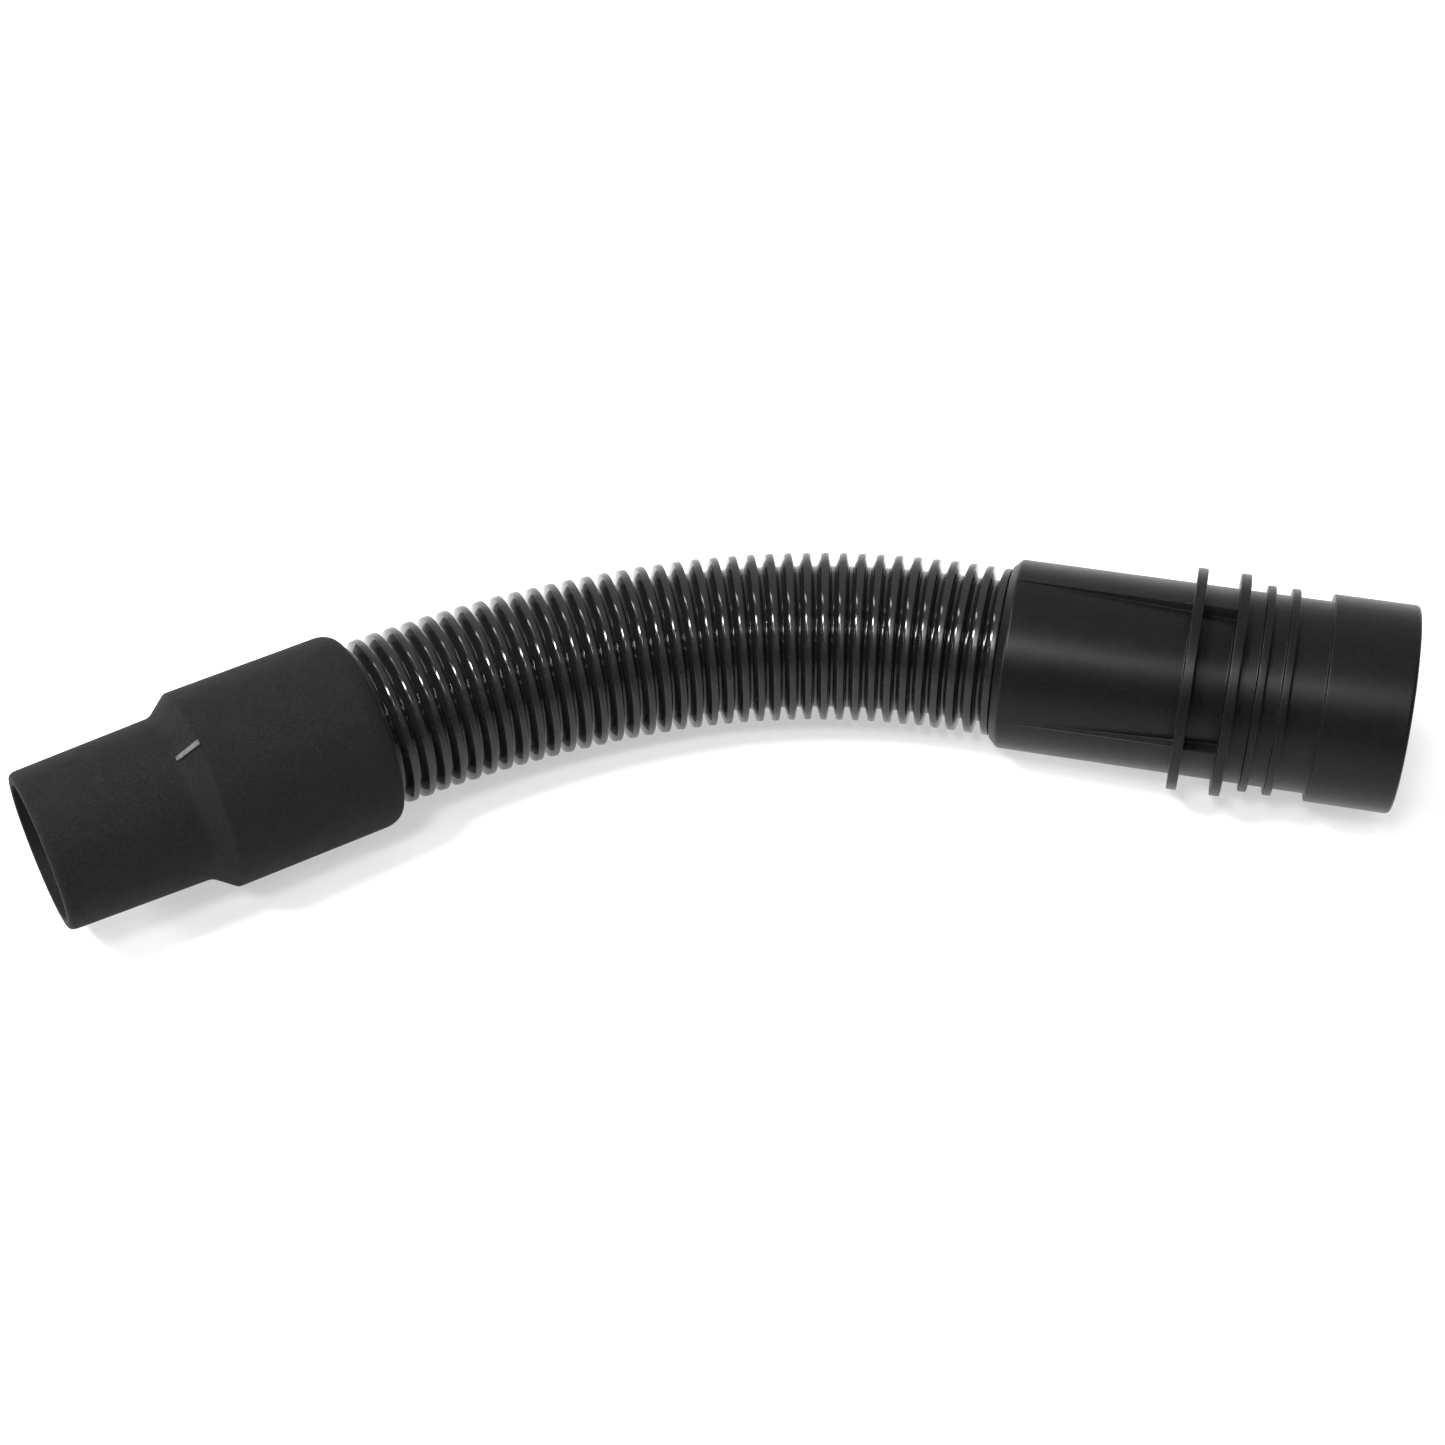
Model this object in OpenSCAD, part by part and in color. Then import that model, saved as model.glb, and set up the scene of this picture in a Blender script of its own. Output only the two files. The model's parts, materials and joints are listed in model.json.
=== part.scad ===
// Short flexible vacuum hose: a soft nozzle cuff, a bent corrugated hose and a
// rigid swivel connector. Lengths are in millimetres and +Z is up.
//
// The origin is the centre of the connector's open end. Stations are measured
// from there along the centreline: the connector first, then the hose as it
// bends, then the nozzle cuff. The part lies on its front flange, on the crest
// of the hose halfway along its bend, and on the back edge of the cuff's sleeve.

/* [Hose] */
// Inside diameter of the hose
hose_bore = 32; // [28:0.5:36]
// Wall thickness between the ribs
hose_wall = 1.1; // [0.8:0.1:1.4]
// Height of a rib over the wall
rib_height = 3.1; // [2.4:0.1:3.4]
// Distance from one rib to the next
rib_pitch = 4.2; // [4:0.1:5]
// Width of a rib's flat crest
rib_crest = 1.4; // [1:0.1:1.6]
// Width of each of a rib's sloping flanks
rib_flank = 0.9; // [0.7:0.05:1]
// Number of ribs that show between the two ends
visible_ribs = 37; // [20:1:60]
// Length of hose inside the connector
connector_insert = 30; // [24:1:34]
// Number of ribs inside the nozzle cuff
cuff_ribs = 9; // [6:1:10]

/* [Bend] */
// Straight stretch of hose between the connector and the bend
straight_lead = 10.5; // [4:0.5:20]
// Radius of the half of the bend by the connector
near_bend_radius = 165; // [120:5:400]
// Radius of the half of the bend by the nozzle cuff
far_bend_radius = 248; // [120:5:400]

/* [Nozzle cuff] */
// Bore that slides over a nozzle or wand
nozzle_bore = 32.4; // [28:0.1:34]
// Wall of the small tube at its tip
tube_wall = 2.7; // [2:0.1:4]
// How much thicker that wall is at the tube's root
tube_taper = 0.8; // [0:0.1:1.5]
// Length of the small tube
tube_length = 33.6; // [20:0.2:60]
// Rounding of the small tube's tip
tube_lip = 1.5; // [0.4:0.1:1.5]
// Length of the cone between the small tube and the sleeve
cone_length = 5; // [3:0.5:10]
// Wall of the sleeve around the hose
sleeve_wall = 3.35; // [2.5:0.05:5]
// Length of the sleeve past the end of the hose
sleeve_past_hose = 1; // [0.5:0.1:3]
// Length of the rounding at the sleeve's mouth
sleeve_round = 4.4; // [2:0.2:6]
// Thickness of the sleeve's edge at its mouth
sleeve_edge = 0.6; // [0.4:0.1:1]
// Thickness of the web that stops the hose and the wand
stop_web = 3.6; // [2:0.2:5]
// Height of the key on the cone
key_height = 0.7; // [0.4:0.1:2]
// Width of the key on the cone
key_width = 1.4; // [1:0.1:6]
// Length of the key past each end of the cone
key_past_cone = 0.3; // [0.2:0.1:2]
// Turn of the key about the cuff, from straight up towards the inside of the bend
key_turn = 20; // [0:1:90]

/* [Connector] */
// Length of the connector
connector_length = 94.5; // [85:0.5:120]
// Wall of the body around the hose
body_wall = 2.4; // [2:0.1:5]
// Thickness of the body's edge at its mouth
mouth_edge = 0.3; // [0.2:0.1:1]
// Length of the chamfer at the mouth
mouth_chamfer = 2; // [0.5:0.1:3]
// Length of the end sleeve
end_sleeve_length = 19.6; // [14:0.2:24]
// Height of the end sleeve over the body
end_sleeve_step = 1.8; // [1:0.1:4]
// Wall of the end sleeve
end_sleeve_wall = 2.5; // [2:0.1:4]
// Rounding of the end sleeve's outer edge
end_round = 0.8; // [0.3:0.1:1.5]
// Depth of the socket in the end sleeve
end_socket_depth = 17; // [10:0.5:19]
// Wall of the body between the socket and the flanges
middle_wall = 2.6; // [2:0.1:4]
// How much further the throat reaches out than the bore of the hose
throat_step = 1.6; // [0.5:0.1:2]
// Height of the two large flanges over the body
large_flange_height = 3.7; // [2:0.1:6]
// Thickness of a large flange
large_flange_width = 2.4; // [1.5:0.1:3]
// Height of the two small flanges over the body
small_flange_height = 1.75; // [1:0.05:3]
// Thickness of a small flange
small_flange_width = 1.9; // [1.2:0.1:2.5]
// Middle of the small flange nearest the end sleeve
first_flange = 28.3; // [26:0.1:30]
// Distance between the two small flanges
small_flange_gap = 5.7; // [4:0.1:7]
// Distance from the small flanges to the large ones
group_gap = 6.2; // [5:0.1:8]
// Distance between the two large flanges
large_flange_gap = 10.1; // [6:0.1:12]
// Depth of the grip recesses at the large flanges
recess_depth = 2.8; // [1:0.1:3]
// Angle that each raised pad between the recesses spans
pad_angle = 86; // [60:1:120]
// Turn of the pads about the connector, from straight up towards the outside of the bend
pad_turn = 45; // [0:1:90]

/* [Swivel] */
// Thickness of the ferrule's tube inside the hose
ferrule_wall = 1.2; // [0.8:0.1:2]
// Length of the ferrule's tube inside the hose
ferrule_length = 20; // [10:1:26]
// Thickness of the ferrule's flange
ferrule_flange = 1.4; // [1:0.1:2.5]
// Height of the ferrule's flange over the bore of the hose
flange_reach = 3.1; // [2.5:0.1:3.4]
// Thickness of the seal
seal_thickness = 1.8; // [1:0.1:3]
// How far the retaining ring reaches into the connector's wall
clip_bite = 0.9; // [0.5:0.1:1.2]
// Opening of the retaining ring
clip_opening = 9; // [4:1:16]
// Number of ribs in front of the retaining ring
ribs_before_clip = 2; // [1:1:4]

/* [Fits] */
// Clearance around a piece that turns
turning_clearance = 0.2; // [0.1:0.05:0.25]
// Gap between pieces that stay together
seat_gap = 0.15; // [0.05:0.05:0.25]

/* [Hidden] */
fine = 72;
over = 1; // how far a cut runs past a face

// The hose, with the number of its sides and of the steps along its bore
hose_sides = 14;
bore_steps = 28;
bore_r = hose_bore / 2;
root_r = bore_r + hose_wall;
crest_r = root_r + rib_height;
rib_root = rib_crest + 2 * rib_flank;

// Stations along the centreline, from the connector's open end
hose_start = connector_length - connector_insert;
first_crest = connector_length + (rib_crest + rib_flank) / 2;
bend_start = connector_length + straight_lead;
cuff_mouth = first_crest + visible_ribs * rib_pitch;
hose_end = cuff_mouth + (cuff_ribs + 0.5) * rib_pitch;
sleeve_front = hose_end + sleeve_past_hose;
tube_root = sleeve_front + cone_length;
tube_tip = tube_root + tube_length;
hidden_ribs = floor((first_crest - hose_start - rib_root / 2) / rib_pitch);
rib_stations = [for (i = [-hidden_ribs : visible_ribs + cuff_ribs]) first_crest + i * rib_pitch];

// The bend ends at the cuff, in two arcs of one length
arc_length = (cuff_mouth - bend_start) / 2;

// The nozzle cuff
cuff_socket_r = crest_r + seat_gap;
sleeve_r = cuff_socket_r + sleeve_wall;
tube_tip_r = nozzle_bore / 2 + tube_wall;
tube_root_r = tube_tip_r + tube_taper;
web_start = hose_end + seat_gap;
wand_stop = web_start + stop_web;
key_angle = key_width / sleeve_r * 180 / PI;

// The connector
socket_r = crest_r + turning_clearance;
body_r = socket_r + body_wall;
end_sleeve_r = body_r + end_sleeve_step;
throat_r = bore_r + throat_step;
second_flange = first_flange + small_flange_gap;
third_flange = second_flange + group_gap;
fourth_flange = third_flange + large_flange_gap;
large_flange_r = body_r + large_flange_height;
small_flange_r = body_r + small_flange_height;
middle_bore_depth = third_flange - large_flange_width / 2;
recess_start = third_flange;
recess_end = connector_length - mouth_chamfer;
recess_r = body_r - recess_depth;
socket_floor = hose_start - turning_clearance;

// The swivel
flange_r = bore_r + flange_reach;
flange_top = hose_start - seat_gap;
flange_bottom = flange_top - ferrule_flange;
seal_seat_r = flange_r + turning_clearance;
seal_seat = flange_bottom - turning_clearance - seal_thickness;
clip_r = socket_r + clip_bite;
clip_station = first_crest - (ribs_before_clip - 0.5) * rib_pitch;
clip_thickness = valley_width(root_r + turning_clearance) - 2 * turning_clearance;

// Width of the valley between two ribs at a distance from the centreline
function valley_width(r) = rib_pitch - rib_root + 2 * rib_flank * (r - root_r) / rib_height;

// How far the centreline has turned in each arc, and in both, at a station
function part_of_arc(s) = max(0, min(s, arc_length));
function near_turn(s) = part_of_arc(s - bend_start) / near_bend_radius * 180 / PI;
function far_turn(s) = part_of_arc(s - bend_start - arc_length) / far_bend_radius * 180 / PI;
function turn_at(s) = near_turn(s) + far_turn(s);

// Directions at a turn: along the centreline, and towards the inside of the bend
function along(turn) = [-cos(turn), -sin(turn), 0];
function inwards(turn) = [sin(turn), -cos(turn), 0];

// Point of the centreline at a station, before the part is laid down
function arc_step(from, to, radius) = radius * (inwards(from) - inwards(to));
function point_at(s) =
    [-min(s, bend_start), 0, 0]
        + arc_step(0, near_turn(s), near_bend_radius)
        + arc_step(near_turn(s), turn_at(s), far_bend_radius)
        + max(0, s - cuff_mouth) * along(turn_at(s));

// The rings that the part lies on, as [station, radius]
rests = [[fourth_flange + large_flange_width / 2, large_flange_r],
         [(bend_start + cuff_mouth) / 2, crest_r],
         [cuff_mouth + sleeve_round, sleeve_r]];

// The lowest point of such a ring, and the direction that stands straight up
// from the plane under all three
function lowest(rest, up) =
    let (axis = along(turn_at(rest[0])), out = up - (up * axis) * axis)
    point_at(rest[0]) - rest[1] * out / norm(out);
function lying(up, rounds) =
    rounds == 0 ? up :
    let (p = [for (rest = rests) lowest(rest, up)], n = cross(p[2] - p[0], p[1] - p[0]))
    lying(n / norm(n) * sign(n.z), rounds - 1);
up = lying([0, 0, 1], 6);

// Lays the part down on those rings
module laid_down() {
    rotate(a = acos(up.z), v = cross(up, [0, 0, 1])) children();
}

// A bend about a centre on the -Y side, from the place that it starts at
module after_bend(angle, radius) {
    translate([0, -radius, 0]) rotate([0, 0, angle]) translate([0, radius, 0]) children();
}

// Puts its children at a station, with +Z along the centreline away from the
// connector and +X straight up from the bend plane
module at_station(s) {
    translate([-min(s, bend_start), 0, 0])
        after_bend(near_turn(s), near_bend_radius) after_bend(far_turn(s), far_bend_radius)
            translate([-max(0, s - cuff_mouth), 0, 0]) rotate([0, -90, 0]) children();
}

// The corners of a ring of radius r around the centreline, the first of them on top
function ring(s, r) =
    [for (i = [0 : hose_sides - 1])
        point_at(s) + r * (cos(360 * i / hose_sides) * [0, 0, 1]
                           + sin(360 * i / hose_sides) * inwards(turn_at(s)))];

// The hose: rings out along the ribs and back along the bore
module corrugated_hose() {
    outside = concat(
        [[hose_start, root_r]],
        [for (s = rib_stations) each [[s - rib_root / 2, root_r], [s - rib_crest / 2, crest_r],
                                      [s + rib_crest / 2, crest_r], [s + rib_root / 2, root_r]]],
        [[hose_end, root_r]]);
    bore = [for (i = [bore_steps : -1 : 0])
        [hose_start + (hose_end - hose_start) * i / bore_steps, bore_r / cos(180 / hose_sides)]];
    rings = concat(outside, bore);
    n = hose_sides;
    total = n * len(rings);
    color([0.05, 0.05, 0.055]) laid_down() polyhedron(
        points = [for (place = rings) each ring(place[0], place[1])],
        faces = [for (i = [0 : n : total - n]) for (j = [0 : n - 1])
            let (k = (j + 1) % n, next = (i + n) % total)
            each [[i + j, next + j, next + k], [i + j, next + k, i + k]]]);
}

// The soft cuff that is moulded over the hose and slides over a nozzle
module nozzle_cuff() {
    color([0.11, 0.11, 0.115]) laid_down() at_station(cuff_mouth) {
        difference() {
            union() {
                rotate_extrude($fn = fine) cuff_section();
                cuff_key();
            }
            translate([0, 0, -over])
                cylinder(r = cuff_socket_r, h = web_start - cuff_mouth + over, $fn = fine);
            translate([0, 0, wand_stop - cuff_mouth])
                cylinder(d = nozzle_bore, h = tube_tip - wand_stop + over, $fn = fine);
            cylinder(r = bore_r, h = tube_tip - cuff_mouth, $fn = fine);
        }
        cuff_ridges();
    }
}

// Outline of the cuff from its axis outwards, as [radius, distance from the mouth]
module cuff_section() {
    edge_r = cuff_socket_r + sleeve_edge;
    tip = tube_tip - cuff_mouth;
    polygon(concat(
        [[0, 0]],
        [for (a = [0 : 15 : 90])
            [edge_r + (sleeve_r - edge_r) * sin(a), sleeve_round * (1 - cos(a))]],
        [[sleeve_r, sleeve_front - cuff_mouth], [tube_root_r, tube_root - cuff_mouth]],
        [for (a = [0 : 15 : 90])
            [tube_tip_r - tube_lip * (1 - cos(a)), tip - tube_lip * (1 - sin(a))]],
        [[0, tip]]));
}

// The key that stands on the cone, with its outline as [radius, distance from the cone]
module cuff_key() {
    back = -key_past_cone;
    front = cone_length + key_past_cone;
    rotate([0, 0, -key_turn - key_angle / 2]) rotate_extrude(angle = key_angle, $fn = fine)
        translate([0, sleeve_front - cuff_mouth])
            polygon([[sleeve_r - over, back], [sleeve_r + key_height, back], [sleeve_r + key_height, 0],
                     [tube_root_r + key_height, cone_length], [tube_root_r + key_height, front],
                     [tube_root_r - over, front]]);
}

// The ridges inside the cuff that grip the hose between its ribs
module cuff_ridges() {
    inner_r = root_r + seat_gap;
    outer_r = cuff_socket_r + seat_gap;
    inner = valley_width(inner_r) / 2 - seat_gap;
    outer = valley_width(outer_r) / 2 - seat_gap;
    for (i = [1 : cuff_ribs - 1]) translate([0, 0, (i + 0.5) * rib_pitch]) rotate_extrude($fn = fine)
        polygon([[inner_r, -inner], [outer_r, -outer], [outer_r, outer], [inner_r, inner]]);
}

// The ferrule in the end of the hose, which turns on the seal
module hose_ferrule() {
    outer_r = bore_r - seat_gap;
    length = ferrule_flange + ferrule_length;
    color([0.75, 0.75, 0.72]) laid_down() at_station(flange_bottom) difference() {
        union() {
            cylinder(r = flange_r, h = ferrule_flange, $fn = fine);
            cylinder(r = outer_r, h = length, $fn = fine);
        }
        translate([0, 0, -over]) cylinder(r = outer_r - ferrule_wall, h = length + 2 * over, $fn = fine);
    }
}

// The flat seal between the ferrule and the connector
module swivel_seal() {
    color([0.3, 0.1, 0.08]) laid_down() at_station(seal_seat) difference() {
        cylinder(r = seal_seat_r, h = seal_thickness, $fn = fine);
        translate([0, 0, -over]) cylinder(r = throat_r, h = seal_thickness + 2 * over, $fn = fine);
    }
}

// The open ring that holds the hose in the connector by one of its valleys
module retaining_ring() {
    color([0.7, 0.72, 0.74]) laid_down() at_station(clip_station - clip_thickness / 2) difference() {
        cylinder(r = clip_r, h = clip_thickness, $fn = fine);
        translate([0, 0, -over])
            cylinder(r = root_r + turning_clearance, h = clip_thickness + 2 * over, $fn = fine);
        translate([0, -clip_opening / 2, -over])
            cube([clip_r + over, clip_opening, clip_thickness + 2 * over]);
    }
}

// The rigid connector that plugs into the machine
module connector_body() {
    color([0.07, 0.07, 0.075]) laid_down() at_station(0) difference() {
        union() {
            rotate_extrude($fn = fine) connector_section();
            for (side = [0, 180]) rotate([0, 0, pad_turn - pad_angle / 2 + side])
                rotate_extrude(angle = pad_angle, $fn = fine) pad_section();
            for (s = [first_flange, second_flange]) flange(s, small_flange_r, small_flange_width);
            for (s = [third_flange, fourth_flange]) flange(s, large_flange_r, large_flange_width);
        }
        connector_bores();
    }
}

// Outline of the connector without its pads and flanges, as [radius, station]
module connector_section() {
    polygon(concat(
        [[0, 0]],
        [for (a = [0 : 15 : 90])
            [end_sleeve_r - end_round * (1 - sin(a)), end_round * (1 - cos(a))]],
        [[end_sleeve_r, end_sleeve_length], [body_r, end_sleeve_length],
         [body_r, recess_start], [recess_r, recess_start],
         [body_r, recess_end], [socket_r + mouth_edge, connector_length], [0, connector_length]]));
}

// Outline of a raised pad beside the recesses
module pad_section() {
    polygon([[recess_r - over, recess_start], [body_r, recess_start],
             [body_r, recess_end], [recess_r - over, recess_end]]);
}

module flange(s, r, width) {
    translate([0, 0, s - width / 2]) cylinder(r = r, h = width, $fn = fine);
}

// Everything that is bored out of the connector
module connector_bores() {
    translate([0, 0, -over])
        cylinder(r = end_sleeve_r - end_sleeve_wall, h = end_socket_depth + over, $fn = fine);
    cylinder(r = body_r - middle_wall, h = middle_bore_depth, $fn = fine);
    cylinder(r = throat_r, h = connector_length, $fn = fine);
    translate([0, 0, seal_seat])
        cylinder(r = seal_seat_r, h = connector_length - seal_seat, $fn = fine);
    translate([0, 0, socket_floor])
        cylinder(r = socket_r, h = connector_length - socket_floor + over, $fn = fine);
    translate([0, 0, clip_station - clip_thickness / 2 - seat_gap])
        cylinder(r = clip_r + seat_gap, h = clip_thickness + 2 * seat_gap, $fn = fine);
}

nozzle_cuff();
corrugated_hose();
hose_ferrule();
swivel_seal();
retaining_ring();
connector_body();
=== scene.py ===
"""Looks of a short black vacuum hose: a soft stepped cuff, a glossy corrugated
hose and a satin swivel connector, lying on a white floor.

Lengths are in millimetres until to_row() turns them into the row frame. A
station is a distance along the centreline from the connector's open end. Angles
about the centreline run from straight up towards the inside of the bend.
"""

import json
import math

import bmesh
import bpy
import numpy as np
from mathutils import Matrix, Vector


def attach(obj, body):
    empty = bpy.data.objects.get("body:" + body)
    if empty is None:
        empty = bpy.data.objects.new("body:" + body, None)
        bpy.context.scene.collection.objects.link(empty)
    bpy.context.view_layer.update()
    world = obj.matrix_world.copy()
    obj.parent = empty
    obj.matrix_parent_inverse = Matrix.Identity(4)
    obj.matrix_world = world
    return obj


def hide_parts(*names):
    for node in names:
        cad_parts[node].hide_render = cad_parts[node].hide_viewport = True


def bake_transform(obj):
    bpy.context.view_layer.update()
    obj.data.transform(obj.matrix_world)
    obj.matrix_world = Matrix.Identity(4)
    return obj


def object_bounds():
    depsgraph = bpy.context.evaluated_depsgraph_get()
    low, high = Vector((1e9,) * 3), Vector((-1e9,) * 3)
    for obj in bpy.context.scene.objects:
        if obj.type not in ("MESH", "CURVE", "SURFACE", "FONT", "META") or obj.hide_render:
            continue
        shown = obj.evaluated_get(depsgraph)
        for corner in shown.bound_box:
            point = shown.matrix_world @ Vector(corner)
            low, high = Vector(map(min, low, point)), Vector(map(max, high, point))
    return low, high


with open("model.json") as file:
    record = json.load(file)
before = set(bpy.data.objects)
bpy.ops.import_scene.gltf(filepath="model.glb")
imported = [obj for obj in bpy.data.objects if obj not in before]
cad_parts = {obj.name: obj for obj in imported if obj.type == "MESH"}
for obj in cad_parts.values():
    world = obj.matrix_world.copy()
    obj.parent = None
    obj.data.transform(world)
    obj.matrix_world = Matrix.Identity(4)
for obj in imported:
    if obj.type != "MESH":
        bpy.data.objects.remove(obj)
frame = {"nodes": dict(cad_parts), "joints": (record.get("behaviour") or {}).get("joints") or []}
cad_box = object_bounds()

MM = 0.001
JOINTS = {j["name"]: j for j in frame["joints"]}

# ---------------------------------------------------- sizes of the solids, mm
HOSE_BORE_R, HOSE_WALL, RIB_HEIGHT = 16.0, 1.1, 3.1
RIB_PITCH, RIB_CREST, RIB_FLANK = 4.2, 1.4, 0.9
VISIBLE_RIBS, CUFF_RIBS = 37, 9
ROOT_R = HOSE_BORE_R + HOSE_WALL
CREST_R = ROOT_R + RIB_HEIGHT
RIB_ROOT = RIB_CREST + 2 * RIB_FLANK
TURNING_CLEARANCE, SEAT_GAP = 0.2, 0.15

# Stations, from the connector's open end to the cuff's tip
CONNECTOR_LENGTH, CONNECTOR_INSERT, STRAIGHT_LEAD = 94.5, 30, 10.5
SLEEVE_PAST_HOSE, CONE_LENGTH, TUBE_LENGTH = 1, 5, 33.6
HOSE_START = CONNECTOR_LENGTH - CONNECTOR_INSERT
FIRST_CREST = CONNECTOR_LENGTH + (RIB_CREST + RIB_FLANK) / 2
BEND_START = CONNECTOR_LENGTH + STRAIGHT_LEAD
CUFF_MOUTH = FIRST_CREST + VISIBLE_RIBS * RIB_PITCH
HOSE_END = CUFF_MOUTH + (CUFF_RIBS + 0.5) * RIB_PITCH
SLEEVE_FRONT = HOSE_END + SLEEVE_PAST_HOSE
TUBE_ROOT = SLEEVE_FRONT + CONE_LENGTH
TUBE_TIP = TUBE_ROOT + TUBE_LENGTH
HIDDEN_RIBS = math.floor((FIRST_CREST - HOSE_START - RIB_ROOT / 2) / RIB_PITCH)

# The bend: two arcs of the same length and of different radii
NEAR_RADIUS, FAR_RADIUS = 165.0, 248.0
ARC = (CUFF_MOUTH - BEND_START) / 2

SLEEVE_WALL, SLEEVE_ROUND, SLEEVE_EDGE = 3.35, 4.4, 0.6
TUBE_WALL, TUBE_TAPER, STOP_WEB = 2.7, 0.8, 3.6
CUFF_SOCKET_R = CREST_R + SEAT_GAP
SLEEVE_R = CUFF_SOCKET_R + SLEEVE_WALL
NOZZLE_R = 16.2
TUBE_TIP_R = NOZZLE_R + TUBE_WALL
TUBE_ROOT_R = TUBE_TIP_R + TUBE_TAPER
WEB_START = HOSE_END + SEAT_GAP
WAND_STOP = WEB_START + STOP_WEB
KEY_WIDTH, KEY_HEIGHT, KEY_PAST_CONE, KEY_SINK = 1.4, 0.7, 0.3, 1.2
KEY_TURN = math.radians(20)

BODY_WALL, MIDDLE_WALL, MOUTH_CHAMFER, MOUTH_EDGE = 2.4, 2.6, 2, 0.35
END_SLEEVE_LENGTH, END_SLEEVE_STEP, END_SLEEVE_WALL, END_SOCKET_DEPTH = 19.6, 1.8, 2.5, 17
SOCKET_R = CREST_R + TURNING_CLEARANCE
BODY_R = SOCKET_R + BODY_WALL
END_SLEEVE_R = BODY_R + END_SLEEVE_STEP
LARGE_HEIGHT, LARGE_WIDTH, SMALL_HEIGHT, SMALL_WIDTH = 3.7, 2.4, 1.75, 1.9
LARGE_R, SMALL_R = BODY_R + LARGE_HEIGHT, BODY_R + SMALL_HEIGHT
FLANGES = [(28.3, SMALL_R, SMALL_WIDTH), (34.0, SMALL_R, SMALL_WIDTH),
           (40.2, LARGE_R, LARGE_WIDTH), (50.3, LARGE_R, LARGE_WIDTH)]
RECESS_START, RECESS_END, RECESS_DEPTH = FLANGES[2][0], CONNECTOR_LENGTH - MOUTH_CHAMFER, 2.8
RECESS_R = BODY_R - RECESS_DEPTH
PAD_HALF, PAD_TURNS = math.radians(43), (math.radians(-45), math.radians(135))
SEAL_SEAT, SEAL_SEAT_R, THROAT_R, THROAT_START = 60.95, 19.3, 17.6, 39.0
CLIP_STATION, CLIP_R, CLIP_HALF = 89.35, 21.45, 0.358
CLIP_GROOVE = CLIP_HALF + SEAT_GAP

# ------------------------------------------------- the part's own directions
EX = Vector(JOINTS["connector_swivel"]["axis"]).normalized()
EZ = Vector(JOINTS["bend_by_connector"]["axis"]).normalized()
EY = EZ.cross(EX).normalized()
TURNED = np.array([EX, EY, EZ]).T


def to_row(points):
    """Millimetres in the part's bend plane to metres in the row frame."""
    return np.asarray(points, float) @ TURNED.T * MM


def along(turn):
    """Forward directions where the centreline has turned by these angles."""
    return np.stack([-np.cos(turn), -np.sin(turn), 0 * turn], -1)


def inwards(turn):
    """Directions to the inside of the bend where it has turned by these angles."""
    return np.stack([np.sin(turn), -np.cos(turn), 0 * turn], -1)


def centreline(s):
    """Points of the centreline at stations s, and the inward directions there."""
    s = np.asarray(s, float)
    near = np.clip(s - BEND_START, 0, ARC) / NEAR_RADIUS
    far = np.clip(s - BEND_START - ARC, 0, ARC) / FAR_RADIUS
    turn = near + far
    start = np.stack([-np.minimum(s, BEND_START), 0 * s, 0 * s], -1)
    point = (start + NEAR_RADIUS * (inwards(0 * s) - inwards(near))
             + FAR_RADIUS * (inwards(near) - inwards(turn))
             + np.maximum(0, s - CUFF_MOUTH)[..., None] * along(turn))
    return point, inwards(turn)


def place(s, r, angle):
    """Points at stations s, radii r and angles about the centreline."""
    point, inward = centreline(s)
    up = np.array([0.0, 0.0, 1.0])
    r, angle = np.asarray(r, float), np.asarray(angle, float)
    return point + r[..., None] * (np.cos(angle)[..., None] * up
                                   + np.sin(angle)[..., None] * inward)


# -------------------------------------------------------------- mesh helpers
def mesh_piece(name, points, faces, sharp=None):
    """A smooth mesh object in the row frame, sharp between the vertices in sharp."""
    mesh = bpy.data.meshes.new(name)
    mesh.from_pydata(to_row(points).tolist(), [], faces)
    bm = bmesh.new()
    bm.from_mesh(mesh)
    bmesh.ops.recalc_face_normals(bm, faces=bm.faces)
    for f in bm.faces:
        f.smooth = True
    if sharp:
        for e in bm.edges:
            e.smooth = not (e.verts[0].index in sharp and e.verts[1].index in sharp)
    bm.to_mesh(mesh)
    bm.free()
    obj = bpy.data.objects.new(name, mesh)
    bpy.context.scene.collection.objects.link(obj)
    return obj


def ring_faces(rings, sides):
    """Quads between rings of vertices, of which the last meets the first."""
    faces = []
    for i in range(rings):
        a, b = i * sides, (i + 1) % rings * sides
        for j in range(sides):
            k = (j + 1) % sides
            faces.append((a + j, a + k, b + k, b + j))
    return faces


def turned_grid(line, angle):
    """Stations, radii and angles of a closed outline (station, radius) at each angle."""
    return (np.repeat(line[:, :1], len(angle), 1), np.repeat(line[:, 1:], len(angle), 1),
            np.repeat(angle[None], len(line), 0))


def full_turn(sides):
    """Evenly spaced angles of a whole turn."""
    return np.linspace(0, 2 * math.pi, sides, endpoint=False)


def rounded(corners, steps=5):
    """A polyline of (station, radius, rounding) corners, each corner a smooth curve."""
    pts = np.array([c[:2] for c in corners], float)
    n, out = len(pts), []
    for i, (_, _, size) in enumerate(corners):
        p, q, v = pts[i - 1], pts[(i + 1) % n], pts[i]
        if size <= 0:
            out.append(v)
            continue
        a, b = p - v, q - v
        la, lb = np.linalg.norm(a), np.linalg.norm(b)
        before = v + a / la * min(size, 0.45 * la)
        after = v + b / lb * min(size, 0.45 * lb)
        for t in np.linspace(0, 1, steps):
            out.append((1 - t) ** 2 * before + 2 * t * (1 - t) * v + t * t * after)
    return np.array(out)


def wave(i, k):
    """A small fixed number from -1 to 1 that differs from rib to rib."""
    return math.sin(i * 12.9898 + k * 78.233) * math.cos(i * 4.1414 + k * 2.7)


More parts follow.
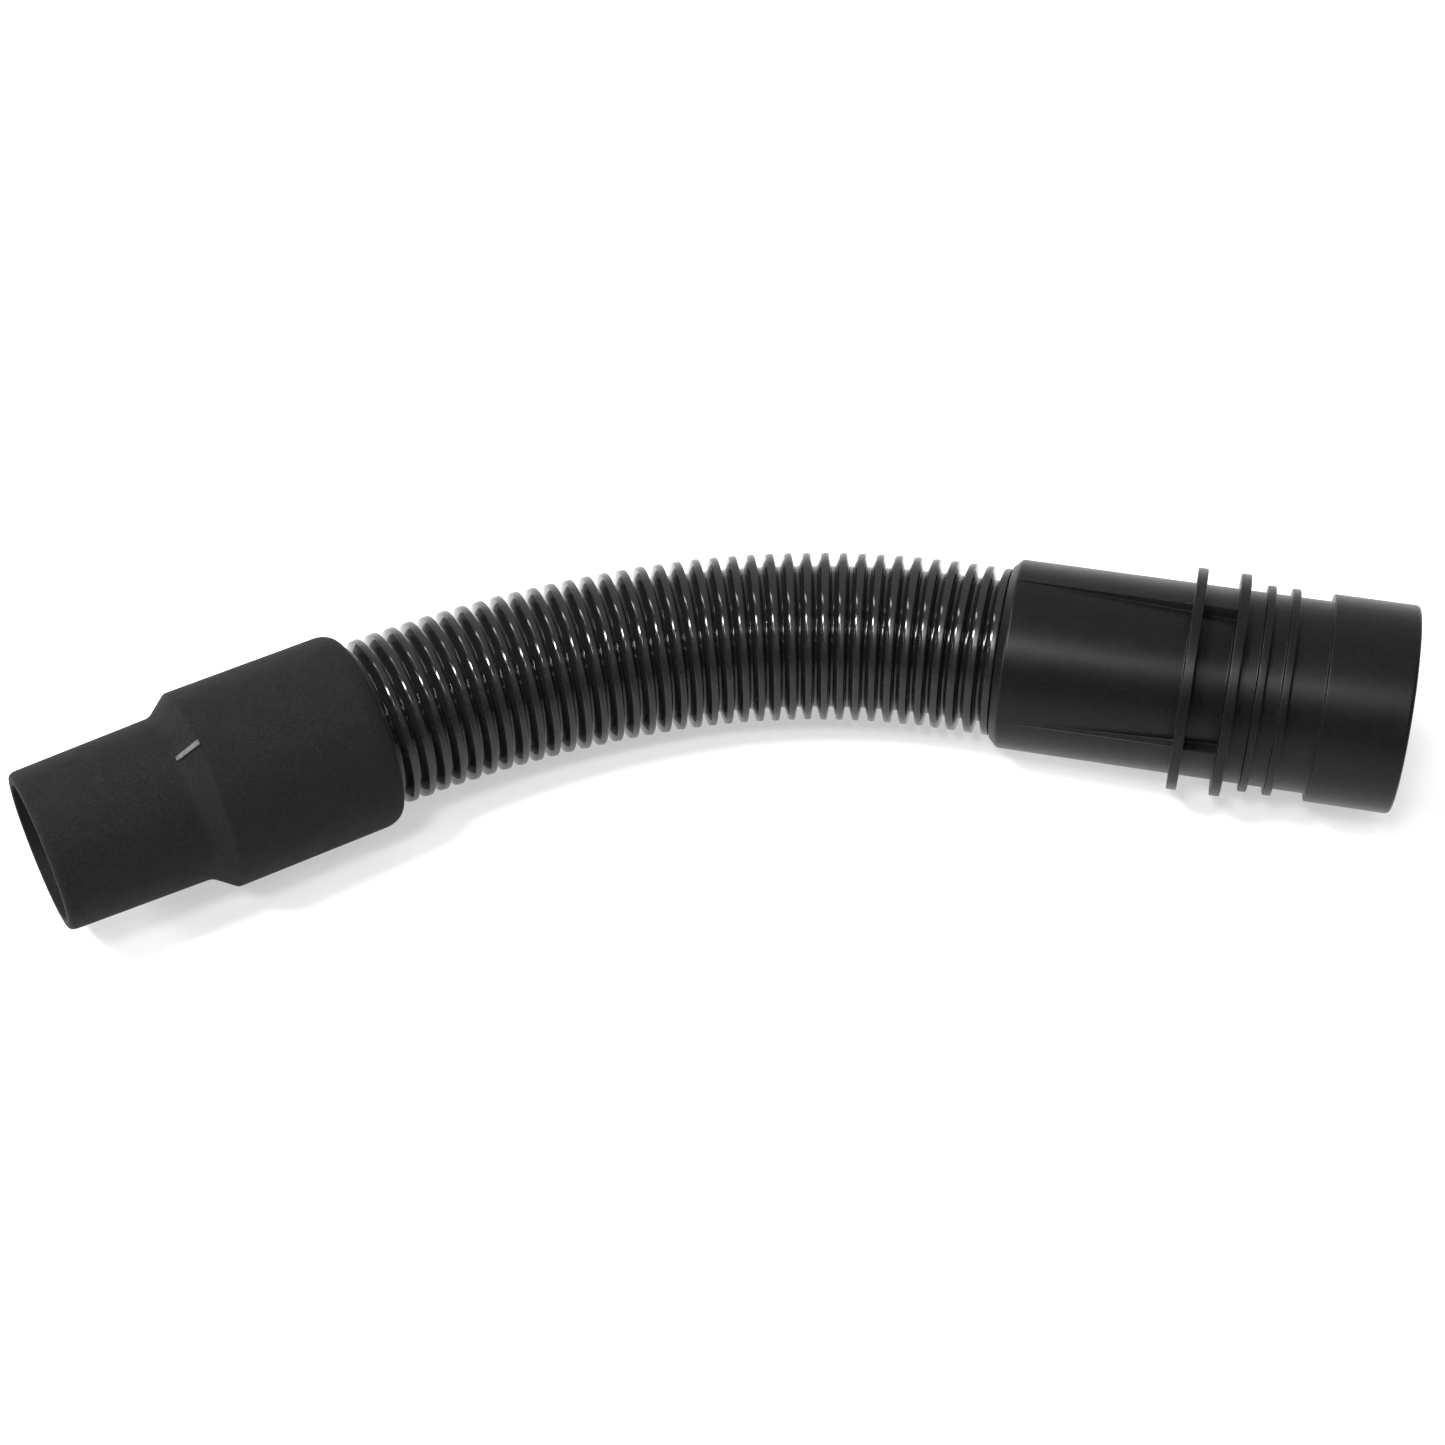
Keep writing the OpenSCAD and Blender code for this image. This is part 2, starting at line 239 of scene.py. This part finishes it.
# ------------------------------------------------------------------ the hose
HOSE_SIDES = 112
OUTER_STEPS, INNER_STEPS = 6, 3
SEAM_RIB = 18
SEAM = FIRST_CREST + (SEAM_RIB + 0.5) * RIB_PITCH

# How far the ribs differ from each other
CREST_VARIES, WIDTH_VARIES, ROOT_VARIES = 0.05, 0.06, 0.03
# How far a rib's corners lie from the solid's: its side to the connector is steeper
ROOT_LATER, CREST_EARLIER, TAIL_LONGER = 0.1, 0.15, 0.15
# The narrow face on the crest's edge, and the hollow under the rib
FACE_INSET, FACE_WIDTH = 0.35, 0.5
HOLLOW_ROOT, HOLLOW_CREST = 0.5, 0.35
# That face's lean: its middle value and swing in degrees, and over which ribs
LEAN_MIDDLE, LEAN_SWING, LEAN_RIB, LEAN_SPREAD = 14.25, 7.5, 12.5, 13


def rib_corners(i, inside):
    """Corners of rib i, from the connector's side; inside is the hollow under it.

    The side to the connector is steep. The crest's edge to the cuff is broken by a
    narrow face, which leans more the nearer the rib is to the cuff.
    """
    s = FIRST_CREST + i * RIB_PITCH
    crest, low = CREST_R + CREST_VARIES * wave(i, 1), ROOT_R
    half_crest = (RIB_CREST + WIDTH_VARIES * wave(i, 2)) / 2
    half_root = RIB_ROOT / 2 + ROOT_VARIES * wave(i, 3)
    if inside:
        return [(s - half_root + HOLLOW_ROOT, HOSE_BORE_R, 0.3),
                (s - half_crest + HOLLOW_CREST, crest - HOSE_WALL, 0.2),
                (s + half_crest - HOLLOW_CREST, crest - HOSE_WALL, 0.2),
                (s + half_root - HOLLOW_ROOT, HOSE_BORE_R, 0.3)]
    shown = min(max(i, 0), VISIBLE_RIBS)
    lean = math.radians(LEAN_MIDDLE + LEAN_SWING * math.tanh((shown - LEAN_RIB) / LEAN_SPREAD))
    edge = s + half_crest - FACE_INSET
    return [(s - half_root + ROOT_LATER, low, 0.3),
            (s - half_crest - CREST_EARLIER, crest, 0.3),
            (edge, crest, 0.1),
            (edge + FACE_WIDTH * math.cos(lean), crest - FACE_WIDTH * math.sin(lean), 0.1),
            (s + half_root + TAIL_LONGER, low, 0.36)]


def hose_piece(name, first, last, start, end):
    """One stretch of the hose, a thin folded wall from station start to station end."""
    outside, inside = [(start, ROOT_R, 0)], [(start, HOSE_BORE_R, 0)]
    for i in range(first, last + 1):
        outside += rib_corners(i, False)
        inside += rib_corners(i, True)
    outside.append((end, ROOT_R, 0))
    inside.append((end, HOSE_BORE_R, 0))
    outer, inner = rounded(outside, OUTER_STEPS), rounded(inside, INNER_STEPS)[::-1]
    line = np.concatenate([outer, inner])
    points = place(*turned_grid(line, full_turn(HOSE_SIDES)))
    rims = [0, len(outer) - 1, len(outer), len(line) - 1]
    sharp = {r * HOSE_SIDES + j for r in rims for j in range(HOSE_SIDES)}
    obj = mesh_piece(name, points.reshape(-1, 3), ring_faces(len(line), HOSE_SIDES), sharp)

    # The flat of a crest runs from the end of its second corner to the third one's start.
    flat = np.zeros((last - first + 1, 5, OUTER_STEPS))
    flat[:, 1, -1] = flat[:, 2, 0] = 1
    crest = np.zeros(len(line))
    crest[1:len(outer) - 1] = flat.ravel()
    worn = obj.data.attributes.new("crest", "FLOAT", "POINT")
    worn.data.foreach_set("value", np.repeat(crest, HOSE_SIDES))
    return obj


hose_near = hose_piece("hose_by_connector", -HIDDEN_RIBS, SEAM_RIB, HOSE_START, SEAM)
hose_far = hose_piece("hose_by_cuff", SEAM_RIB + 1, VISIBLE_RIBS + CUFF_RIBS, SEAM, HOSE_END)


# ------------------------------------------------------------------ the cuff
CUFF_SIDES = 176
OUT_OF_ROUND = 0.06


def cuff_outline():
    """The cuff's closed outline, from the sleeve's mouth to the tip and back inside."""
    edge = CUFF_SOCKET_R + SLEEVE_EDGE
    mouth = [(CUFF_MOUTH + SLEEVE_ROUND * (1 - math.cos(t)),
              edge + (SLEEVE_R - edge) * math.sin(t), 0)
             for t in np.radians(np.arange(10, 91, 10))]
    corners = [(CUFF_MOUTH, edge, 0.2)] + mouth + [
        (SLEEVE_FRONT, SLEEVE_R, 0.45),
        (TUBE_ROOT, TUBE_ROOT_R, 1.2),
        (TUBE_TIP, TUBE_TIP_R, 1.9),
        (TUBE_TIP, NOZZLE_R, 0.45),
        (WAND_STOP, NOZZLE_R, 0.1),
        (WAND_STOP, HOSE_BORE_R, 0.1),
        (WEB_START, HOSE_BORE_R, 0.2),
        (WEB_START, CUFF_SOCKET_R, 0),
        (CUFF_MOUTH, CUFF_SOCKET_R, 0.15)]
    return rounded(corners, 6)


def soft_cuff():
    """The cuff, turned about the centreline and a little out of round."""
    line = cuff_outline()
    s, r, a = turned_grid(line, full_turn(CUFF_SIDES))
    r = r + OUT_OF_ROUND * (np.sin(2 * a + s * 0.05) * 0.6 + np.sin(3 * a - s * 0.09 + 1) * 0.4)
    return mesh_piece("soft_cuff", place(s, r, a).reshape(-1, 3),
                      ring_faces(len(line), CUFF_SIDES))


def cuff_key():
    """The small bar that stands on the cone."""
    start, end = SLEEVE_FRONT - KEY_PAST_CONE, TUBE_ROOT + KEY_PAST_CONE
    top = rounded([(start, SLEEVE_R - KEY_SINK, 0),
                   (start, SLEEVE_R + KEY_HEIGHT, 0.25),
                   (SLEEVE_FRONT, SLEEVE_R + KEY_HEIGHT, 0.5),
                   (TUBE_ROOT, TUBE_ROOT_R + KEY_HEIGHT, 0.6),
                   (end, TUBE_ROOT_R + KEY_HEIGHT, 0.25),
                   (end, TUBE_ROOT_R - KEY_SINK, 0)], 5)
    half = KEY_WIDTH / SLEEVE_R / 2
    # Across the bar: the share of its half width, and the drop at its rounded edges
    columns = [(-1.0, -0.18), (-0.93, -0.06), (-0.8, 0.0), (0.0, 0.01), (0.8, 0.0),
               (0.93, -0.06), (1.0, -0.18)]
    rows = []
    for share, drop in columns:
        r = top[:, 1] + drop
        r[0], r[-1] = top[0, 1], top[-1, 1]
        rows.append(place(top[:, 0], r, np.full(len(top), KEY_TURN + share * half)))
    n, last = len(top), (len(rows) - 1) * len(top)
    faces = [(i * n + j, i * n + j + 1, (i + 1) * n + j + 1, (i + 1) * n + j)
             for i in range(len(rows) - 1) for j in range(n - 1)]
    faces += [tuple(range(n)), tuple(last + j for j in range(n)[::-1])]
    near_foot = [i * n for i in range(len(rows))]
    far_foot = [i * n + n - 1 for i in range(len(rows))[::-1]]
    faces.append(tuple(near_foot + far_foot))
    return mesh_piece("cuff_key", np.concatenate(rows), faces)


cuff = soft_cuff()
key = cuff_key()


# ------------------------------------------------------------- the connector
WALL_HALF = math.radians(0.8)


def off_centre(a, centre):
    """The angle between a and centre, either way round."""
    return abs((a - centre + math.pi) % (2 * math.pi) - math.pi)


def connector_angles():
    """Column angles, close together at the pads' edges."""
    edges = [turn + side * PAD_HALF for turn in PAD_TURNS for side in (-1, 1)]
    close = np.radians([-1.8, -0.8, -0.6, -0.35, 0, 0.35, 0.6, 0.8, 1.8])
    angles = [a for e in edges for a in e + close]
    for a in np.radians(np.arange(0, 360, 2.25)):
        if min(off_centre(a, e) for e in edges) > math.radians(2.6):
            angles.append(a)
    return np.array(sorted(a % (2 * math.pi) for a in angles))


def pad_share(a):
    """1 on a pad, 0 in a recess, and a steep smooth wall between them."""
    off = min(off_centre(a, t) for t in PAD_TURNS) - PAD_HALF
    t = min(1.0, max(0.0, (WALL_HALF - off) / (2 * WALL_HALF)))
    return t * t * (3 - 2 * t)


def recess_floor(s, share):
    """The radius at station s, where the recesses rise to the body at their end."""
    if s <= RECESS_START:
        return BODY_R
    low = RECESS_R + (BODY_R - RECESS_R) * (s - RECESS_START) / (RECESS_END - RECESS_START)
    return low + (BODY_R - low) * share


def connector_outline(share):
    """The connector's closed outline where it is a pad (share 1), a recess (0) or a wall."""
    out = [(0, END_SLEEVE_R, 1.0), (END_SLEEVE_LENGTH, END_SLEEVE_R, 0.35),
           (END_SLEEVE_LENGTH, BODY_R, 0.3)]
    for s, r, width in FLANGES:
        a, b = s - width / 2, s + width / 2
        out += [(a, recess_floor(a, share), 0.35), (a, r, 0.3), (b, r, 0.3),
                (b, recess_floor(b, share), 0.35)]
    shoulder, socket_r = HOSE_START - TURNING_CLEARANCE, END_SLEEVE_R - END_SLEEVE_WALL
    out += [(RECESS_END, BODY_R, 0.5), (CONNECTOR_LENGTH, SOCKET_R + MOUTH_EDGE, 0.25),
            (CONNECTOR_LENGTH, SOCKET_R, 0.1),
            (CLIP_STATION + CLIP_GROOVE, SOCKET_R, 0), (CLIP_STATION + CLIP_GROOVE, CLIP_R, 0),
            (CLIP_STATION - CLIP_GROOVE, CLIP_R, 0), (CLIP_STATION - CLIP_GROOVE, SOCKET_R, 0),
            (shoulder, SOCKET_R, 0.3), (shoulder, SEAL_SEAT_R, 0.2),
            (SEAL_SEAT, SEAL_SEAT_R, 0.2), (SEAL_SEAT, THROAT_R, 0.3),
            (THROAT_START, THROAT_R, 0.4), (THROAT_START, BODY_R - MIDDLE_WALL, 0.4),
            (END_SOCKET_DEPTH, BODY_R - MIDDLE_WALL, 0.4), (END_SOCKET_DEPTH, socket_r, 0.5),
            (0, socket_r, 0.5)]
    return rounded(out, 5)


def connector():
    """The whole connector, with an outline of its own at each angle."""
    angles = connector_angles()
    outlines = np.array([connector_outline(pad_share(a)) for a in angles])
    s, r = outlines[..., 0].T, outlines[..., 1].T
    a = np.repeat(angles[None], len(s), 0)
    return mesh_piece("swivel_connector", place(s, r, a).reshape(-1, 3),
                      ring_faces(len(s), len(angles)))


body = connector()

for o in (cuff, key, body):
    fair = o.modifiers.new("fair_normals", "WEIGHTED_NORMAL")
    fair.weight = 60


# -------------------------------------------------------------- node helpers
def map_range(tree, value, start, end, low, high, smooth=False):
    """A Map Range node's output: low to high as the value goes from start to end."""
    node = tree.nodes.new("ShaderNodeMapRange")
    if smooth:
        node.interpolation_type = "SMOOTHSTEP"
    numbers = {"From Min": start, "From Max": end, "To Min": low, "To Max": high}
    for socket, number in numbers.items():
        node.inputs[socket].default_value = number
    tree.links.new(value, node.inputs["Value"])
    return node.outputs["Result"]


def greatest(tree, first, *others):
    """The greatest of several values."""
    for other in others:
        node = tree.nodes.new("ShaderNodeMath")
        node.operation = "MAXIMUM"
        tree.links.new(first, node.inputs[0])
        tree.links.new(other, node.inputs[1])
        first = node.outputs[0]
    return first


# ----------------------------------------------------------------- materials
GRAIN_DEPTH = 0.0002  # metres


def material(name, base, roughness, grain, grain_size, crest=None, speckle=0.2, **sockets):
    """A moulded plastic or rubber: a nearly even colour, uneven gloss and a fine grain.

    roughness is a range. crest is the range on the faces that the crest attribute
    marks. speckle is the share that the colour varies by, grain the bump's strength
    and grain_size the size of its grains in metres. The rest are the shader's sockets.
    """
    m = bpy.data.materials.new(name)
    m.use_nodes = True
    tree = m.node_tree
    nodes, links = tree.nodes, tree.links
    shader = nodes["Principled BSDF"]
    where = nodes.new("ShaderNodeTexCoord")

    def noise(scale, detail, rough):
        n = nodes.new("ShaderNodeTexNoise")
        n.inputs["Scale"].default_value = scale
        n.inputs["Detail"].default_value = detail
        n.inputs["Roughness"].default_value = rough
        links.new(where.outputs["Object"], n.inputs["Vector"])
        return n.outputs["Fac"]

    def spread(value, low, high):
        return map_range(tree, value, 0.3, 0.7, low, high)

    tint = nodes.new("ShaderNodeMix")
    tint.data_type = "RGBA"
    tint.inputs["A"].default_value = (*[c * (1 - speckle) for c in base], 1)
    tint.inputs["B"].default_value = (*[c * (1 + speckle) for c in base], 1)
    links.new(spread(noise(0.7 / grain_size, 2, 0.7), 0, 1), tint.inputs["Factor"])
    links.new(tint.outputs["Result"], shader.inputs["Base Color"])
    cloud = noise(220, 6, 0.55)
    gloss_value = spread(cloud, *roughness)
    if crest:
        marked = nodes.new("ShaderNodeAttribute")
        marked.attribute_name = "crest"
        mix = nodes.new("ShaderNodeMix")
        links.new(marked.outputs["Fac"], mix.inputs["Factor"])
        links.new(gloss_value, mix.inputs["A"])
        links.new(spread(cloud, *crest), mix.inputs["B"])
        gloss_value = mix.outputs["Result"]
    links.new(gloss_value, shader.inputs["Roughness"])
    bump = nodes.new("ShaderNodeBump")
    bump.inputs["Strength"].default_value = grain
    bump.inputs["Distance"].default_value = GRAIN_DEPTH
    links.new(noise(1 / grain_size, 3, 0.6), bump.inputs["Height"])
    links.new(bump.outputs["Normal"], shader.inputs["Normal"])
    for socket, value in sockets.items():
        shader.inputs[socket.replace("_", " ")].default_value = value
    return m


rubber = material("soft_black_rubber", base=(0.0054, 0.0054, 0.0056), roughness=(0.76, 0.86),
                  grain=0.7, grain_size=0.0004, speckle=0.55, IOR=1.5, Specular_IOR_Level=0.15)
gloss = material("glossy_black_hose", base=(0.008, 0.008, 0.0083), roughness=(0.1, 0.13),
                 grain=0.008, grain_size=0.0012, crest=(0.26, 0.32), IOR=1.34)
satin = material("satin_black_plastic", base=(0.0035, 0.0035, 0.0038), roughness=(0.32, 0.38),
                 grain=0.1, grain_size=0.0005, speckle=0.4, IOR=1.235)
# The key bar is the cuff's black rubber with a polished top. Its base colour, lighter than the
# rubber's, is a painted highlight.
key_polish_and_painted_highlight = material("polished_rubber_with_painted_highlight", base=(0.03, 0.03, 0.03), roughness=(0.4, 0.5),
                     grain=0.05, grain_size=0.0006, IOR=1.45)
bush = material("natural_nylon", base=(0.55, 0.53, 0.47), roughness=(0.35, 0.45),
                grain=0.08, grain_size=0.0006)
seal = material("dark_red_seal", base=(0.15, 0.03, 0.022), roughness=(0.55, 0.7),
                grain=0.3, grain_size=0.0005)
steel = material("spring_steel", base=(0.55, 0.55, 0.56), roughness=(0.25, 0.35),
                 grain=0.05, grain_size=0.0004, Metallic=1.0)

for o, m in ((cuff, rubber), (key, key_polish_and_painted_highlight), (hose_near, gloss), (hose_far, gloss),
             (body, satin)):
    o.data.materials.append(m)
for node, m in (("hose_ferrule", bush), ("swivel_seal", seal), ("retaining_ring", steel)):
    cad = frame["nodes"][node]
    if not cad.material_slots:
        cad.data.materials.append(m)
    for s in cad.material_slots:
        s.material = m

# ------------------------------------------------------- bodies and the frame
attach(cuff, "nozzle")
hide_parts("nozzle_cuff")
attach(key, "nozzle")
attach(body, "connector")
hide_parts("connector_body")


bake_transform(hose_near)
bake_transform(hose_far)
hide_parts("corrugated_hose")
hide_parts("corrugated_hose")

# -------------------------------------------------------------------- camera
# Fitted to the photo's rims, crests and ends; the focal length is a share of its width.
CAMERA = to_row([-54.6, -441.8, 410.5])
TARGET = to_row([-154.8, -37.4, 0.0])
PHOTO_FOCUS = 2500.0 / 1445
ROLL = math.radians(-1.30)
SENSOR_WIDTH = 36.0

back = (Vector(CAMERA) - Vector(TARGET)).normalized()
right = EZ.cross(back).normalized()
top = back.cross(right)
turned = Matrix((right, top, back)).transposed() @ Matrix.Rotation(ROLL, 3, "Z")
cam_data = bpy.data.cameras.new("camera")
cam_data.sensor_fit = "HORIZONTAL"
cam_data.sensor_width = SENSOR_WIDTH
cam_data.lens = SENSOR_WIDTH * PHOTO_FOCUS
cam_data.clip_start, cam_data.clip_end = 0.01, 20
camera = bpy.data.objects.new("camera", cam_data)
camera.matrix_world = Matrix.Translation(Vector(CAMERA)) @ turned.to_4x4()
bpy.context.scene.collection.objects.link(camera)
bpy.context.scene.camera = camera

# --------------------------------------------------------------------- floor
FLOOR_Z, FLOOR_HALF = cad_box[0].z, 6
floor_mesh = bpy.data.meshes.new("floor")
floor_mesh.from_pydata([(x * FLOOR_HALF, y * FLOOR_HALF, FLOOR_Z)
                        for x, y in ((-1, -1), (1, -1), (1, 1), (-1, 1))], [], [(0, 1, 2, 3)])
floor = bpy.data.objects.new("floor", floor_mesh)
bpy.context.scene.collection.objects.link(floor)


def white_floor():
    """A matte white, half of which is plain white wherever it is seen or mirrored."""
    m = bpy.data.materials.new("white_floor")
    m.use_nodes = True
    tree = m.node_tree
    nodes, links = tree.nodes, tree.links
    matte = nodes["Principled BSDF"]
    matte.inputs["Base Color"].default_value = (0.9, 0.9, 0.9, 1)
    matte.inputs["Roughness"].default_value = 0.9
    matte.inputs["Specular IOR Level"].default_value = 0.1
    ray = nodes.new("ShaderNodeLightPath").outputs
    seen = greatest(tree, ray["Is Camera Ray"], ray["Is Glossy Ray"], ray["Is Transmission Ray"])
    share = nodes.new("ShaderNodeMath")
    share.operation = "MULTIPLY"
    share.inputs[1].default_value = 0.5
    links.new(seen, share.inputs[0])
    paper = nodes.new("ShaderNodeEmission")
    paper.inputs["Color"].default_value = (1, 1, 1, 1)
    paper.inputs["Strength"].default_value = 1.0
    mix = nodes.new("ShaderNodeMixShader")
    links.new(share.outputs[0], mix.inputs[0])
    links.new(matte.outputs["BSDF"], mix.inputs[1])
    links.new(paper.outputs["Emission"], mix.inputs[2])
    links.new(mix.outputs["Shader"], nodes["Material Output"].inputs["Surface"])
    return m


floor.data.materials.append(white_floor())

# --------------------------------------------------------------------- world
# Darker in front of the part and lighter behind it, with a white rim at the horizon
world = bpy.data.worlds.new("studio")
bpy.context.scene.world = world
world.use_nodes = True
wt = world.node_tree
sky = wt.nodes["Background"]
sky.inputs["Color"].default_value = (1, 1, 1, 1)
way = wt.nodes.new("ShaderNodeTexCoord")
split = wt.nodes.new("ShaderNodeSeparateXYZ")
wt.links.new(way.outputs["Generated"], split.inputs["Vector"])
behind = map_range(wt, split.outputs["Y"], -0.2, 0.9, 0.12, 0.95, smooth=True)
rim = map_range(wt, split.outputs["Z"], 0.1, 0.3, 1.0, 0.0, smooth=True)
wt.links.new(greatest(wt, behind, rim), sky.inputs["Strength"])

# --------------------------------------------------------------------- lamps
FOCUS = Vector(to_row([-165, -30, 0]))


def lamp(name, direction, distance, size, power, size_y=None):
    """A soft lamp, square without size_y, that faces the middle of the hose.

    Its direction is (right, up, towards the camera), distance and sizes are in metres.
    """
    d = (right * direction[0] + top * direction[1] + back * direction[2]).normalized()
    data = bpy.data.lights.new(name, "AREA")
    data.energy = power
    data.size = size
    if size_y:
        data.shape = "RECTANGLE"
        data.size_y = size_y
    obj = bpy.data.objects.new(name, data)
    obj.location = FOCUS + d * distance
    obj.rotation_euler = d.to_track_quat("Z", "Y").to_euler()
    bpy.context.scene.collection.objects.link(obj)
    return obj


# The first gives the row of spots on the ribs, and strip_left the streaks above them.
lamp("window_left", (-0.41, 0.375, 0.83), 1.4, 0.2, 19)
lamp("edge_light", (-0.913, 0.149, 0.378), 1.4, 0.2, 11)
lamp("strip_left", (-0.413, 0.766, 0.492), 1.4, 0.15, 8.5, 0.85)
lamp("strip_front", (0.2, 0.19, 0.96), 1.4, 1.3, 2, 0.06)
lamp("low_strip_front", (0.2, -0.1, 0.97), 1.4, 1.3, 0.7, 0.04)
lamp("front", (-0.19, 0.19, 0.96), 1.4, 0.2, 9.5)
above = lamp("soft_above", (0.0, 0.75, 0.66), 1.6, 1.2, 13)
above.visible_glossy = False

bpy.context.scene.view_settings.view_transform = "Standard"
